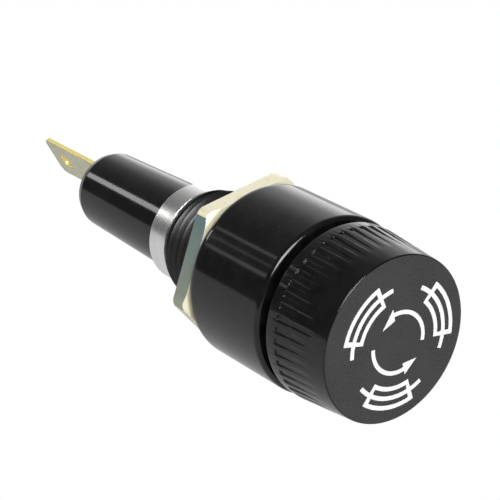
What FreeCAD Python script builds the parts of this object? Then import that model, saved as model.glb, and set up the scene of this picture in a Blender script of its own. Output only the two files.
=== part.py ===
import FreeCAD, Part
import math
import os

os.makedirs("parts", exist_ok=True)

# Panel-mounted holder for a 6 x 30 mm cartridge fuse.  Millimetres, +Z up.
# The axis runs along Y: the knob faces -Y and the end terminal points to +Y.
# The origin is on the axis, in the collar's rear face, where the panel seats.

# Driving dimensions
knobFaceRadius = 8.4         # radius of the knob at its flat face
knobRimRadius = 9.0          # radius of the knob at its rear rim
knobLength = 7.9
knobEdgeChamfer = 0.15
fluteCount = 48
fluteWidth = 0.66            # at the rear end, across the knob's surface
fluteFloorWidth = 0.46
fluteDepth = 0.16            # at the rear end
fluteFront = 1.8             # from the face to where the flutes run out
rimBandWidth = 1.3           # plain band behind the flutes
knobGap = 1.1                # between the knob's rim and the collar

collarRadius = 9.2
collarLength = 11.4
collarEdgeRadius = 0.5
collarRearRadius = 0.9       # fillet of the collar's rear edge
threadRadius = 6.0           # M12 x 1 outside thread, at its crest
threadRunout = 2.05          # plain relief between the collar and the thread
reliefRadius = 5.5
threadEnd = 9.05             # distance of the thread's end from the panel face
tubeEnd = 28.4               # distance of the tube's end from the panel face
tubeFrontRadius = 4.8
tubeRearRadius = 4.3
tubeEndTaper = 0.35          # how far the tube's end is drawn in
tubeEndTaperLength = 0.9
tubeEndSteps = 4

nutAcrossFlats = 17.0
nutThickness = 1.9
nutCornerAngle = 10.4        # turn of one corner from +X towards +Z
nutCornerRadius = 9.65       # the corners are turned down to this
nutChamfer = 0.3             # front chamfer of the corners, along the axis
nutChamferInset = 0.5

sleeveWall = 0.4
sleeveRadius = 6.7           # outside of the wide part that takes the cap
sleeveNeckRadius = 4.1       # outside of the narrow part inside the thread
sleeveFront = -8.95
sleeveFloor = -1.45
sleeveEnd = 11.6

ringRadius = 5.3
ringStepRadius = 5.0
ringStepWidth = 0.6
ringLength = 3.35
sideLugAngle = -36.0         # turn of the side terminal from +X towards +Z
sideLugSpan = 42.0           # how far the rolled tag reaches round the tube, degrees
sideLugEnd = 23.5
sideLugThickness = 0.4
sideLugHoleRadius = 0.8
sideLugHoleFromEnd = 2.0

ferruleRadius = 6.2
ferruleWall = 0.4
ferruleFront = -16.0
ferruleEnd = -8.0
lugLength = 1.2              # bayonet lug, along the axis
lugSpan = 14.0               # bayonet lug, round the axis, degrees
lugEnd = -6.6
lockTurn = 45.0              # clockwise turn from free to locked, degrees
pressTravel = 0.8
slotPlay = 2.0               # how much wider than the lug its slot is, degrees

fuseRadius = 3.15
fuseLength = 30.0
fuseFront = -6.9
fuseCapLength = 5.8
fuseCapWall = 0.2
fuseCapEdge = 0.15
glassWall = 0.5
elementRadius = 0.12
solderRadius = 1.2
solderHeight = 0.45

clipWall = 0.3
clipGripClearance = 0.03
fingerCount = 4
fingerSlot = 1.0
fingerRoot = 0.5             # where the slots start, behind the cartridge's front end

chamberRadius = 3.45         # bore that the cartridge lies in
contactFloor = 26.0          # front face of the end plate
platePlug = 0.3              # thickness of the end plate
discThickness = 1.0
discRadius = 3.7
springWireRadius = 0.25
springRadius = 2.3
springTurns = 3.0

tabWidth = 5.2
tabThickness = 0.5
tabEnd = 41.0
tabAngle = 119.4             # turn of the tab's width from +X towards +Z
tabOffset = 0.94             # far face of the tab from the axis
tabHoleRadius = 0.95
tabHoleFromEnd = 2.9
tabCornerRadius = 0.9

bossRadius = 6.7             # plastic boss that covers the ferrule in the gap
bossRear = -10.0

fitGap = 0.02                # faces that are pressed or moulded together
runGap = 0.05                # faces that slide or swivel on each other
through = 1.0                # how far a cutter passes its work

# Places that follow from them
knobRear = -collarLength - knobGap
knobFace = knobRear - knobLength
fuseRear = fuseFront + fuseLength
chamberEnd = contactFloor + platePlug
discRear = chamberEnd + discThickness

origin = FreeCAD.Vector(0, 0, 0)
axis = FreeCAD.Vector(0, 1, 0)


def vec(x, y, z):
    return FreeCAD.Vector(x, y, z)


def turned(outline):
    """Solid turned about the Y axis from corners given as (radius, y)."""
    corners = [vec(radius, y, 0) for radius, y in outline]
    face = Part.Face(Part.makePolygon(corners + corners[:1]))
    return face.revolve(origin, axis, 360)


def barrel(radius, front, rear):
    """Round bar on the axis between two places."""
    return Part.makeCylinder(radius, rear - front, vec(0, front, 0), axis)


def pipe(outer, inner, front, rear):
    """Round tube on the axis."""
    return barrel(outer, front, rear).cut(barrel(inner, front - through, rear + through))


def placed(shape, angle):
    """Shape turned about the axis, from +X towards +Z."""
    turnedShape = shape.copy()
    turnedShape.rotate(origin, vec(0, -1, 0), angle)
    return turnedShape


def sector(outer, inner, front, rear, span, angle):
    """Part of a round tube that reaches span degrees round the axis."""
    corners = [vec(inner, front, 0), vec(outer, front, 0), vec(outer, rear, 0), vec(inner, rear, 0)]
    face = Part.Face(Part.makePolygon(corners + corners[:1]))
    piece = face.revolve(origin, vec(0, -1, 0), span)
    return placed(piece, angle - span / 2.0)


def roundEdges(shape, radius, y, ring):
    """Fillet the circular edges of one radius that lie at one place along the axis."""
    chosen = []
    for edge in shape.Edges:
        box = edge.BoundBox
        flat = box.YLength < 0.001 and abs(box.YMin - y) < 0.001
        if flat and abs(box.XMax - ring) < 0.001:
            chosen.append(edge)
    return shape.makeFillet(radius, chosen)


def save(shape, name):
    """Write one closed solid as its own node."""
    if not shape.isValid():
        raise ValueError(name + " is not valid")
    if len(shape.Solids) != 1:
        raise ValueError(name + " has " + str(len(shape.Solids)) + " solids")
    shape.Solids[0].exportStep("parts/" + name + ".step")
    print(name, round(shape.Volume, 2), "mm3")


# Cap: knob, ferrule, clip and its rivet
rivetShank = 1.0
rivetHeadRadius = 1.9
rivetHeadThickness = 0.35
rivetDepth = 6.0
rivetTipGap = 0.2


def fluteRing(y, radii, turns):
    """Points round the axis that repeat their radii and turns once for every flute."""
    points = []
    for index in range(fluteCount):
        for radius, turn in zip(radii, turns):
            angle = math.radians(index * 360.0 / fluteCount + turn)
            points.append(vec(radius * math.cos(angle), y, radius * math.sin(angle)))
    return points


def facetedSolid(rings):
    """Solid with flat facets between rings of points that have the same count."""
    facets = []
    for first, second in zip(rings, rings[1:]):
        for index in range(len(first)):
            ahead = (index + 1) % len(first)
            for corners in (
                [first[index], first[ahead], second[ahead]],
                [first[index], second[ahead], second[index]],
            ):
                if (corners[1] - corners[0]).cross(corners[2] - corners[0]).Length > 1e-6:
                    facets.append(Part.Face(Part.makePolygon(corners + corners[:1])))
    for end in (rings[0], rings[-1]):
        facets.append(Part.Face(Part.makePolygon(end + end[:1])))
    solid = Part.makeSolid(Part.makeShell(facets))
    if solid.Volume < 0:
        solid.reverse()
    return solid.removeSplitter()


def makeKnob():
    stemRadius = ferruleRadius - ferruleWall - fitGap
    bandFront = knobRear - rimBandWidth
    flutesFront = knobFace + fluteFront
    slope = (knobRimRadius - knobFaceRadius) / (bandFront - knobFace)
    frontRadius = knobFaceRadius + slope * fluteFront
    floorRadius = knobRimRadius - fluteDepth
    floorTurn = math.degrees(fluteFloorWidth / 2.0 / knobRimRadius)
    topTurn = math.degrees(fluteWidth / 2.0 / knobRimRadius)
    turns = [-topTurn, -floorTurn, floorTurn, topTurn]
    body = facetedSolid([
        fluteRing(knobFace, [knobFaceRadius - knobEdgeChamfer] * 4, turns),
        fluteRing(knobFace + knobEdgeChamfer, [knobFaceRadius] * 4, turns),
        fluteRing(flutesFront, [frontRadius] * 4, turns),
        fluteRing(bandFront, [knobRimRadius, floorRadius, floorRadius, knobRimRadius], turns),
        fluteRing(bandFront, [knobRimRadius] * 4, turns),
        fluteRing(knobRear, [knobRimRadius] * 4, turns),
    ])
    boss = barrel(bossRadius, knobRear - through, bossRear)
    groove = pipe(ferruleRadius + fitGap, stemRadius, ferruleFront - fitGap, bossRear)
    stem = barrel(stemRadius, bossRear - through, ferruleEnd - ferruleWall - fitGap)
    body = body.fuse(boss).cut(groove).fuse(stem).removeSplitter()
    return body.cut(barrel(rivetShank + fitGap, ferruleEnd - rivetDepth, 0))


def makeFerrule():
    cup = turned([
        (rivetShank + fitGap, ferruleEnd - ferruleWall),
        (ferruleRadius - ferruleWall, ferruleEnd - ferruleWall),
        (ferruleRadius - ferruleWall, ferruleFront),
        (ferruleRadius, ferruleFront),
        (ferruleRadius, ferruleEnd),
        (rivetShank + fitGap, ferruleEnd),
    ])
    return cup


def addLugs(cup):
    lugRoot = ferruleRadius - ferruleWall / 2.0
    lugFront = lugEnd - lugLength
    for angle in (0, 180):
        arm = sector(ferruleRadius, lugRoot, ferruleEnd - through, lugEnd, lugSpan, angle)
        lug = sector(sleeveRadius, lugRoot, lugFront, lugEnd, lugSpan, angle)
        cup = cup.fuse(arm).fuse(lug)
    return cup.removeSplitter()


def makeClip():
    inner = fuseRadius + clipGripClearance
    outer = inner + clipWall
    base = ferruleEnd + runGap
    cup = barrel(outer, base, fuseFront + fuseCapLength)
    cup = cup.cut(barrel(inner, base + clipWall, through))
    cup = cup.cut(barrel(rivetShank + runGap, base - through, through))
    for index in range(fingerCount // 2):
        slot = Part.makeBox(
            3 * outer,
            fuseCapLength + through,
            fingerSlot,
            vec(-1.5 * outer, fuseFront + fingerRoot, -fingerSlot / 2.0))
        cup = cup.cut(placed(slot, 45 + index * 360.0 / fingerCount))
    return cup


def makeClipRivet():
    headFront = ferruleEnd + runGap + clipWall + runGap
    return turned([
        (0, ferruleEnd - rivetDepth + rivetTipGap),
        (rivetShank, ferruleEnd - rivetDepth + rivetTipGap),
        (rivetShank, headFront),
        (rivetHeadRadius, headFront),
        (rivetHeadRadius * 0.8, headFront + rivetHeadThickness),
        (0, headFront + rivetHeadThickness),
    ])


# Holder: moulding, sleeve and terminals
ringRivetRadius = 0.7
ringRivetHead = 0.8
ringRivetRise = 0.1          # how far the head stands off the ring, inside the nut's way
endRivetShank = 0.6
endRivetHead = 1.1
endRivetRise = 0.32
endRivetShift = 0.95         # rivet centre from the axis, away from the tab
mouthRadius = 7.0


def tubeEndCurve():
    """Corners that draw the tube's end in along a quarter of an ellipse."""
    corners = []
    for step in range(tubeEndSteps + 1):
        turn = math.pi / 2.0 * step / tubeEndSteps
        radius = tubeRearRadius - tubeEndTaper * (1 - math.cos(turn))
        corners.append((radius, tubeEnd - tubeEndTaperLength * (1 - math.sin(turn))))
    return corners


def makeHolderBody():
    body = turned([
        (mouthRadius, -collarLength),
        (collarRadius, -collarLength),
        (collarRadius, 0),
        (reliefRadius, 0),
        (reliefRadius, threadRunout),
        (threadRadius, threadRunout),
        (threadRadius, threadEnd),
        (tubeFrontRadius, threadEnd),
    ] + tubeEndCurve() + [
        (discRadius + fitGap, tubeEnd),
        (discRadius + fitGap, chamberEnd),
        (chamberRadius, chamberEnd),
        (chamberRadius, sleeveEnd + runGap),
        (sleeveNeckRadius + fitGap, sleeveEnd + runGap),
        (sleeveNeckRadius + fitGap, sleeveFloor + fitGap),
        (sleeveRadius + fitGap, sleeveFloor + fitGap),
        (sleeveRadius + fitGap, sleeveFront),
        (mouthRadius, sleeveFront),
    ])
    body = roundEdges(body, collarEdgeRadius, -collarLength, collarRadius)
    body = roundEdges(body, collarRearRadius, 0, collarRadius)
    return body.cut(ringRivetHole(ringRivetRadius + fitGap))


def ringRivetPlace():
    return threadEnd + ringLength / 2.0 + ringStepWidth / 2.0


def ringRivetHole(radius):
    """Radial bar through the wall, on the side terminal's side."""
    bar = Part.makeCylinder(radius, 2 * ringRadius, vec(0, ringRivetPlace(), 0), vec(1, 0, 0))
    return placed(bar, sideLugAngle)


def makeSleeve():
    inner = sleeveRadius - sleeveWall
    neck = sleeveNeckRadius - sleeveWall
    sleeve = turned([
        (inner, sleeveFront),
        (sleeveRadius, sleeveFront),
        (sleeveRadius, sleeveFloor),
        (sleeveNeckRadius, sleeveFloor),
        (sleeveNeckRadius, sleeveEnd),
        (neck, sleeveEnd),
        (neck, sleeveFloor - sleeveWall),
        (inner, sleeveFloor - sleeveWall),
    ])
    slotFront = lugEnd - lugLength - runGap
    slotRear = lugEnd + pressTravel + 2 * runGap
    outer = sleeveRadius + through
    inside = inner - sleeveWall / 2.0
    entrySpan = lugSpan + slotPlay
    for angle in (0, 180):
        middle = angle - lockTurn / 2.0
        turnSlot = sector(outer, inside, slotFront, slotRear, lockTurn + entrySpan, middle)
        entry = sector(outer, inside, sleeveFront - through, slotRear, entrySpan, angle)
        sleeve = sleeve.cut(turnSlot).cut(entry)
    return sleeve.cut(ringRivetHole(ringRivetRadius + fitGap))


def makeRingTerminal():
    inner = tubeFrontRadius + fitGap
    ring = turned([
        (inner, threadEnd + fitGap),
        (ringStepRadius, threadEnd + fitGap),
        (ringStepRadius, threadEnd + ringStepWidth),
        (ringRadius, threadEnd + ringStepWidth),
        (ringRadius, threadEnd + ringLength),
        (inner, threadEnd + ringLength),
    ])
    ringEnd = threadEnd + ringLength
    tagInside = ringRadius - sideLugThickness
    tag = sector(ringRadius, tagInside, ringEnd - through, sideLugEnd, sideLugSpan, sideLugAngle)
    ring = ring.fuse(tag)
    holeStart = vec(tubeRearRadius, sideLugEnd - sideLugHoleFromEnd, 0)
    hole = Part.makeCylinder(sideLugHoleRadius, ringRadius, holeStart, vec(1, 0, 0))
    ring = ring.cut(placed(hole, sideLugAngle))
    return ring.cut(ringRivetHole(ringRivetRadius + fitGap)).removeSplitter()


def makeRingRivet():
    start = sleeveNeckRadius - sleeveWall
    shank = Part.makeCylinder(ringRivetRadius, ringRadius - start, vec(start, 0, 0), vec(1, 0, 0))
    head = Part.makeCylinder(ringRivetHead, ringRivetRise, vec(ringRadius, 0, 0), vec(1, 0, 0))
    rivet = shank.fuse(head)
    rivet.translate(vec(0, ringRivetPlace(), 0))
    return placed(rivet, sideLugAngle).removeSplitter()


def endRivetBar(radius, front, rear):
    """Bar along the axis at the end rivet's place, turned with the tab."""
    bar = Part.makeCylinder(radius, rear - front, vec(0, front, endRivetShift), axis)
    return placed(bar, tabAngle)


def makeEndPlate():
    plate = barrel(chamberRadius - runGap, contactFloor, chamberEnd)
    return plate.cut(endRivetBar(endRivetShank + fitGap, 0, tabEnd))


def makeEndDisc():
    disc = barrel(discRadius, chamberEnd, discRear)
    return disc.cut(endRivetBar(endRivetShank + fitGap, 0, tabEnd))


def makeEndTerminal():
    half = tabWidth / 2.0
    foot = Part.makeBox(tabWidth, tabThickness, tabOffset + half, vec(-half, discRear, -tabOffset))
    tab = Part.makeBox(tabWidth, tabEnd - discRear, tabThickness, vec(-half, discRear, -tabOffset))
    corners = []
    for edge in tab.Edges:
        box = edge.BoundBox
        if box.YMin > tabEnd - 0.01 and box.ZLength > tabThickness / 2.0:
            corners.append(edge)
    tab = tab.makeFillet(tabCornerRadius, corners)
    holeStart = vec(0, tabEnd - tabHoleFromEnd, -tabOffset - through)
    hole = Part.makeCylinder(tabHoleRadius, 2 * through + tabThickness, holeStart, vec(0, 0, 1))
    terminal = foot.fuse(tab.cut(hole)).removeSplitter()
    return placed(terminal, tabAngle).cut(endRivetBar(endRivetShank + fitGap, 0, discRear + through))


def makeEndRivet():
    headRear = discRear + tabThickness
    shank = endRivetBar(endRivetShank, contactFloor - endRivetRise, headRear + endRivetRise)
    front = endRivetBar(endRivetHead, contactFloor - endRivetRise, contactFloor)
    rear = endRivetBar(endRivetHead, headRear, headRear + endRivetRise)
    return shank.fuse(front).fuse(rear).removeSplitter()


# Nut
def makeNut():
    corner = nutAcrossFlats / math.sqrt(3.0)
    front = runGap
    rear = front + nutThickness
    points = []
    for index in range(6):
        angle = math.radians(nutCornerAngle + 60 * index)
        points.append(vec(corner * math.cos(angle), front, corner * math.sin(angle)))
    face = Part.Face(Part.makePolygon(points + points[:1]))
    hexagon = face.extrude(vec(0, nutThickness, 0))
    blank = turned([
        (0, front),
        (nutCornerRadius - nutChamferInset, front),
        (nutCornerRadius, front + nutChamfer),
        (nutCornerRadius, rear),
        (0, rear),
    ])
    return hexagon.common(blank).cut(barrel(threadRadius + runGap, front - through, rear + through))


# Rear contact
cupFloor = 0.3
cupDepth = 1.5
cupPipRadius = 1.2           # pip that centres the spring
cupPipHeight = 0.6


def makeContactCup():
    outer = chamberRadius - runGap
    inner = fuseRadius + runGap
    floor = fuseRear + fitGap
    back = floor + cupFloor
    return turned([
        (0, floor),
        (inner, floor),
        (inner, floor - cupDepth),
        (outer, floor - cupDepth),
        (outer, back),
        (cupPipRadius, back),
        (cupPipRadius * 0.8, back + cupPipHeight),
        (0, back + cupPipHeight),
    ])


def makeContactSpring():
    seat = fuseRear + cupFloor + springWireRadius + 2 * fitGap
    height = contactFloor - springWireRadius - fitGap - seat
    helix = Part.makeHelix(height / springTurns, height, springRadius)
    helix.rotate(origin, vec(1, 0, 0), -90)
    helix.translate(vec(0, seat, 0))
    edge = helix.Edges[0]
    start = edge.valueAt(edge.FirstParameter)
    along = edge.tangentAt(edge.FirstParameter)
    section = Part.Wire(Part.Circle(start, along, springWireRadius).toShape())
    return Part.Wire(helix.Edges).makePipeShell([section], True, True)


# Cartridge fuse
def makeFuseCap(end, inward):
    """Cup on one end of the glass; inward is the way from the end to the middle."""
    cap = turned([
        (0, end),
        (fuseRadius, end),
        (fuseRadius, end + inward * fuseCapLength),
        (fuseRadius - fuseCapWall, end + inward * fuseCapLength),
        (fuseRadius - fuseCapWall, end + inward * fuseCapWall),
        (0, end + inward * fuseCapWall),
    ])
    return roundEdges(cap, fuseCapEdge, end, fuseRadius)


def makeGlass():
    outer = fuseRadius - fuseCapWall - fitGap
    inset = fuseCapWall + fitGap
    return pipe(outer, outer - glassWall, fuseFront + inset, fuseRear - inset)


def makeSolder(end, inward):
    """Flat bead that holds the wire inside one cap."""
    base = end + inward * fuseCapWall
    top = base + inward * solderHeight
    return turned([(0, base), (solderRadius, base), (solderRadius * 0.5, top), (0, top)])


def makeElement():
    inset = fuseCapWall + solderHeight
    return barrel(elementRadius, fuseFront + inset, fuseRear - inset)


save(makeKnob(), "knob_shell")
save(addLugs(makeFerrule()), "cap_ferrule")
save(makeClip(), "fuse_clip")
save(makeClipRivet(), "clip_rivet")
save(makeHolderBody(), "holder_body")
save(makeSleeve(), "contact_sleeve")
save(makeRingTerminal(), "ring_terminal")
save(makeRingRivet(), "ring_rivet")
save(makeEndPlate(), "end_plate")
save(makeEndDisc(), "end_disc")
save(makeEndTerminal(), "end_terminal")
save(makeEndRivet(), "terminal_rivet")
save(makeNut(), "mounting_nut")
save(makeContactCup(), "rear_contact_cup")
save(makeContactSpring(), "contact_spring")
save(makeFuseCap(fuseFront, 1), "fuse_front_cap")
save(makeFuseCap(fuseRear, -1), "fuse_rear_cap")
save(makeGlass(), "fuse_glass_tube")
save(makeSolder(fuseFront, 1), "fuse_front_solder")
save(makeSolder(fuseRear, -1), "fuse_rear_solder")
save(makeElement(), "fuse_element")
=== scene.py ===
import bmesh
import bpy
import math
from mathutils import Matrix, Vector


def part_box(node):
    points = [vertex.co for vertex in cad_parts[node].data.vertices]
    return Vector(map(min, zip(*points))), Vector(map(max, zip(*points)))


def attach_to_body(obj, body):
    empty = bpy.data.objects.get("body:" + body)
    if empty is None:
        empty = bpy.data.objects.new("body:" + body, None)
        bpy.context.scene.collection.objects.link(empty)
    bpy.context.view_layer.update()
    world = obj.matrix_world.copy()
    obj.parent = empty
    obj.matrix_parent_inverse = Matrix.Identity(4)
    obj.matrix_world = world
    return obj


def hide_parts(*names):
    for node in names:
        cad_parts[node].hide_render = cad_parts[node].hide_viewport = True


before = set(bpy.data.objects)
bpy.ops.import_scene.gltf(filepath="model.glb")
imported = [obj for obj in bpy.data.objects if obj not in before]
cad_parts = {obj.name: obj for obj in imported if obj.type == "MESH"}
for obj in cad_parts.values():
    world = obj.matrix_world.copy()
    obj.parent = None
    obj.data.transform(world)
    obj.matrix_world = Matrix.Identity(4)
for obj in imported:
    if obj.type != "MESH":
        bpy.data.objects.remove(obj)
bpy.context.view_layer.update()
mm = 0.001


# Node helpers

def plug(tree, socket, value):
    if isinstance(value, bpy.types.NodeSocket):
        tree.links.new(value, socket)
    else:
        socket.default_value = value


def addNode(tree, kind, inputs=None, **settings):
    node = tree.nodes.new(kind)
    for name, value in settings.items():
        setattr(node, name, value)
    for name, value in (inputs or {}).items():
        plug(tree, node.inputs[name], value)
    return node


def calc(tree, operation, *values, clamp=False):
    node = addNode(tree, "ShaderNodeMath", operation=operation, use_clamp=clamp)
    for socket, value in zip(node.inputs, values):
        plug(tree, socket, value)
    return node.outputs[0]


def remap(tree, value, fromLow, fromHigh, toLow, toHigh, smooth=False):
    node = addNode(tree, "ShaderNodeMapRange", interpolation_type="SMOOTHSTEP" if smooth else "LINEAR")
    for socket, given in zip(node.inputs, (value, fromLow, fromHigh, toLow, toHigh)):
        plug(tree, socket, given)
    return node.outputs[0]


def mixColors(tree, factor, first, second, blend="MIX"):
    node = addNode(tree, "ShaderNodeMix", data_type="RGBA", blend_type=blend)
    plug(tree, node.inputs[0], factor)
    plug(tree, node.inputs[6], first)
    plug(tree, node.inputs[7], second)
    return node.outputs[2]


def newGroup(kind, name, inputs, outputs):
    tree = bpy.data.node_groups.new(name, kind)
    for label, socketKind, value in inputs:
        socket = tree.interface.new_socket(label, in_out="INPUT", socket_type=socketKind)
        if value is not None:
            socket.default_value = value
    for label, socketKind in outputs:
        tree.interface.new_socket(label, in_out="OUTPUT", socket_type=socketKind)
    given = tree.nodes.new("NodeGroupInput").outputs
    result = tree.nodes.new("NodeGroupOutput").inputs
    return tree, given, result


def useGroup(tree, group, inputs=None):
    node = tree.nodes.new("ShaderNodeGroup")
    node.node_tree = group
    for name, value in (inputs or {}).items():
        plug(tree, node.inputs[name], value)
    return node.outputs


# Shared shader effects: sizes are in millimetres and patterns read Object coordinates

floatKind = "NodeSocketFloat"
vectorKind = "NodeSocketVector"


def makeGrainGroup():
    tree, given, result = newGroup(
        "ShaderNodeTree", "fineGrain",
        [("Size", floatKind, 0.2), ("Detail", floatKind, 3.0),
         ("Low", floatKind, 0.35), ("High", floatKind, 0.65)],
        [("Height", floatKind), ("Mask", floatKind)])
    place = tree.nodes.new("ShaderNodeTexCoord").outputs["Object"]
    scale = calc(tree, "DIVIDE", 1 / mm, given["Size"])
    noise = addNode(tree, "ShaderNodeTexNoise", {"Vector": place, "Scale": scale, "Detail": given["Detail"]})
    plug(tree, result["Height"], noise.outputs["Fac"])
    spread = remap(tree, noise.outputs["Fac"], given["Low"], given["High"], 0.0, 1.0, smooth=True)
    plug(tree, result["Mask"], spread)
    return tree


def makeLinesGroup():
    # fine lines left by drawing, turning or wiping: Spacing is the pattern's size along x, y and z
    tree, given, result = newGroup(
        "ShaderNodeTree", "drawnLines",
        [("Spacing", vectorKind, (2.0, 0.05, 2.0)), ("Low", floatKind, 0.4), ("High", floatKind, 0.7)],
        [("Height", floatKind), ("Mask", floatKind)])
    place = tree.nodes.new("ShaderNodeTexCoord").outputs["Object"]
    inMillimetres = addNode(tree, "ShaderNodeVectorMath", operation="SCALE")
    plug(tree, inMillimetres.inputs[0], place)
    plug(tree, inMillimetres.inputs["Scale"], 1 / mm)
    stretched = addNode(tree, "ShaderNodeVectorMath", operation="DIVIDE")
    plug(tree, stretched.inputs[0], inMillimetres.outputs[0])
    plug(tree, stretched.inputs[1], given["Spacing"])
    noise = addNode(tree, "ShaderNodeTexNoise", {"Vector": stretched.outputs[0], "Scale": 1.0, "Detail": 4.0})
    plug(tree, result["Height"], noise.outputs["Fac"])
    spread = remap(tree, noise.outputs["Fac"], given["Low"], given["High"], 0.0, 1.0, smooth=True)
    plug(tree, result["Mask"], spread)
    return tree


def makeEdgeGroup():
    # 1 along worn edges, broken up by noise, and the softened normal that catches the light there
    tree, given, result = newGroup(
        "ShaderNodeTree", "edgeWear",
        [("Width", floatKind, 0.1), ("Breakup", floatKind, 0.6), ("Amount", floatKind, 1.0)],
        [("Mask", floatKind), ("Normal", vectorKind)])
    width = calc(tree, "MULTIPLY", given["Width"], mm)
    soft = addNode(tree, "ShaderNodeBevel", {"Radius": width}, samples=4)
    flat = tree.nodes.new("ShaderNodeNewGeometry").outputs["Normal"]
    facing = addNode(tree, "ShaderNodeVectorMath", operation="DOT_PRODUCT")
    plug(tree, facing.inputs[0], soft.outputs[0])
    plug(tree, facing.inputs[1], flat)
    turn = calc(tree, "SUBTRACT", 1.0, facing.outputs["Value"])
    edge = remap(tree, turn, 0.01, 0.2, 0.0, 1.0)
    place = tree.nodes.new("ShaderNodeTexCoord").outputs["Object"]
    scale = calc(tree, "DIVIDE", 1 / mm, given["Breakup"])
    noise = addNode(tree, "ShaderNodeTexNoise", {"Vector": place, "Scale": scale, "Detail": 4.0})
    patches = remap(tree, noise.outputs["Fac"], 0.3, 0.62, 0.15, 1.0, smooth=True)
    worn = calc(tree, "MULTIPLY", edge, patches)
    plug(tree, result["Mask"], calc(tree, "MULTIPLY", worn, given["Amount"], clamp=True))
    plug(tree, result["Normal"], soft.outputs[0])
    return tree


def makeDustGroup():
    # small separate specks, more of them on faces that look up
    tree, given, result = newGroup(
        "ShaderNodeTree", "dustSpecks",
        [("Size", floatKind, 0.5), ("Cover", floatKind, 0.12), ("Amount", floatKind, 1.0)],
        [("Mask", floatKind)])
    place = tree.nodes.new("ShaderNodeTexCoord").outputs["Object"]
    scale = calc(tree, "DIVIDE", 1 / mm, given["Size"])
    cells = addNode(tree, "ShaderNodeTexVoronoi", {"Vector": place, "Scale": scale})
    speck = calc(tree, "LESS_THAN", cells.outputs["Distance"], given["Cover"])
    pick = addNode(tree, "ShaderNodeSeparateColor", {"Color": cells.outputs["Color"]}).outputs[0]
    few = calc(tree, "GREATER_THAN", pick, 0.55)
    normal = tree.nodes.new("ShaderNodeNewGeometry").outputs["Normal"]
    up = addNode(tree, "ShaderNodeSeparateXYZ", {"Vector": normal}).outputs[2]
    lift = remap(tree, up, -0.4, 0.9, 0.15, 1.0)
    specks = calc(tree, "MULTIPLY", calc(tree, "MULTIPLY", speck, few), lift)
    plug(tree, result["Mask"], calc(tree, "MULTIPLY", specks, given["Amount"], clamp=True))
    return tree


grainGroup = makeGrainGroup()
linesGroup = makeLinesGroup()
edgeGroup = makeEdgeGroup()
dustGroup = makeDustGroup()


# Materials

def newMaterial(name, constants):
    material = bpy.data.materials.new(name)
    material.use_nodes = True
    tree = material.node_tree
    shader = tree.nodes["Principled BSDF"]
    for socketName, value in constants.items():
        shader.inputs[socketName].default_value = value
    return material, tree, shader.inputs


def bumpNormal(tree, height, depth, base=None):
    node = addNode(tree, "ShaderNodeBump", {"Height": height, "Distance": depth * mm, "Strength": 1.0})
    if base is not None:
        plug(tree, node.inputs["Normal"], base)
    return node.outputs[0]


def grey(level, tint=(1.0, 1.0, 1.0)):
    return (level * tint[0], level * tint[1], level * tint[2], 1.0)


glossLook = {
    "dark": grey(0.0025, (0.97, 1.0, 1.02)),
    "pale": grey(0.005, (1.0, 1.0, 1.0)),
    "dust": grey(0.06, (1.0, 0.97, 0.92)),
    "roughLow": 0.07,
    "roughHigh": 0.14,
    "peelSize": 1.6,         # soft waves in the moulded skin
    "peelDepth": 0.0022,
    "grainSize": 0.09,
    "grainDepth": 0.0006,
    "edgeWidth": 0.12,
}


def blackPlastic(name, look):
    material, tree, inputs = newMaterial(name, {"IOR": 1.5, "Metallic": 0.0})
    waves = useGroup(tree, grainGroup, {"Size": look["peelSize"], "Detail": 1.0})
    grain = useGroup(tree, grainGroup, {"Size": look["grainSize"], "Detail": 2.0})
    rubs = useGroup(tree, linesGroup, {"Spacing": (0.9, 0.12, 0.9), "Low": 0.52, "High": 0.75})
    dust = useGroup(tree, dustGroup, {"Size": 0.55, "Cover": 0.09, "Amount": 0.45})
    edges = useGroup(tree, edgeGroup, {"Width": look["edgeWidth"], "Breakup": 0.5, "Amount": 0.5})
    base = mixColors(tree, waves["Mask"], look["dark"], look["pale"])
    worn = mixColors(tree, edges["Mask"], base, grey(0.03))
    plug(tree, inputs["Base Color"], mixColors(tree, dust["Mask"], worn, look["dust"]))
    smooth = remap(tree, grain["Mask"], 0.0, 1.0, look["roughLow"], look["roughHigh"])
    rubbed = calc(tree, "ADD", smooth, calc(tree, "MULTIPLY", rubs["Mask"], 0.06))
    plug(tree, inputs["Roughness"], calc(tree, "ADD", rubbed, calc(tree, "MULTIPLY", dust["Mask"], 0.4)))
    broad = bumpNormal(tree, waves["Height"], look["peelDepth"], edges["Normal"])
    plug(tree, inputs["Normal"], bumpNormal(tree, grain["Height"], look["grainDepth"], broad))
    return material


satinLook = {
    "dark": grey(0.017),
    "pale": grey(0.04, (1.0, 1.0, 0.99)),
    "speckSize": 0.13,
    "speckDepth": 0.006,
    "roughLow": 0.36,
    "roughHigh": 0.5,
}


def satinPlastic(name, look):
    # the printed face: an eroded, fine-grained surface
    material, tree, inputs = newMaterial(name, {"IOR": 1.5, "Metallic": 0.0})
    specks = useGroup(tree, grainGroup, {"Size": look["speckSize"], "Detail": 3.0, "Low": 0.4, "High": 0.62})
    clouds = useGroup(tree, grainGroup, {"Size": 3.2, "Detail": 2.0})
    dust = useGroup(tree, dustGroup, {"Size": 0.8, "Cover": 0.07, "Amount": 0.5})
    base = mixColors(tree, specks["Mask"], look["dark"], look["pale"])
    clouded = mixColors(tree, calc(tree, "MULTIPLY", clouds["Mask"], 0.35), base, look["pale"])
    plug(tree, inputs["Base Color"], mixColors(tree, dust["Mask"], clouded, grey(0.12)))
    rough = remap(tree, specks["Mask"], 0.0, 1.0, look["roughHigh"], look["roughLow"])
    plug(tree, inputs["Roughness"], rough)
    plug(tree, inputs["Normal"], bumpNormal(tree, specks["Height"], look["speckDepth"]))
    return material


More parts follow.
